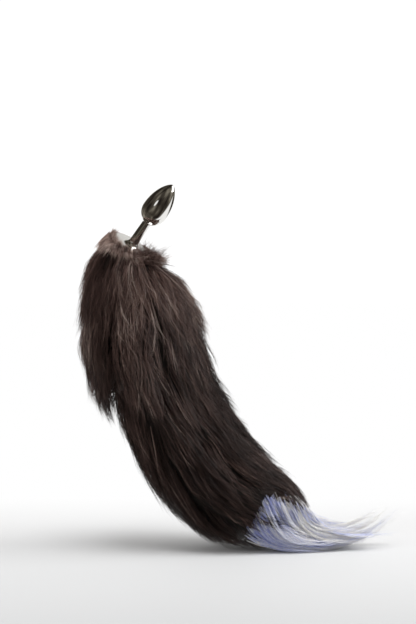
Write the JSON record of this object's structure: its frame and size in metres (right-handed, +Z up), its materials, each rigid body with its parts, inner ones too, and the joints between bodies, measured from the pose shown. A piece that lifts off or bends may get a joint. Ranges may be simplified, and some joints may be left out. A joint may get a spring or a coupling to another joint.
{
  "type": "tail butt plug",
  "caption": "Polished steel teardrop plug with a wide flange and a long dark brown fur tail that bends to the floor and ends in a pale blue tuft.",
  "frame": {"origin": "middle of the flange's upper face, where the wearer's body holds the plug", "axes": "+X the way the tail trails, +Y away from the viewer, +Z up"},
  "size_m": [0.319, 0.1171, 0.3744],
  "materials": {
    "polished_steel": "mirror polished",
    "plain_steel": "plain turned",
    "dark_brown_fur": "glossy long pile",
    "pale_blue_fur": "glossy long pile"
  },
  "bodies": {
    "root": {"plug": "polished_steel", "tail_socket": "plain_steel", "dark_fur": "dark_brown_fur", "pale_tip": "pale_blue_fur"}
  },
  "joints": []
}
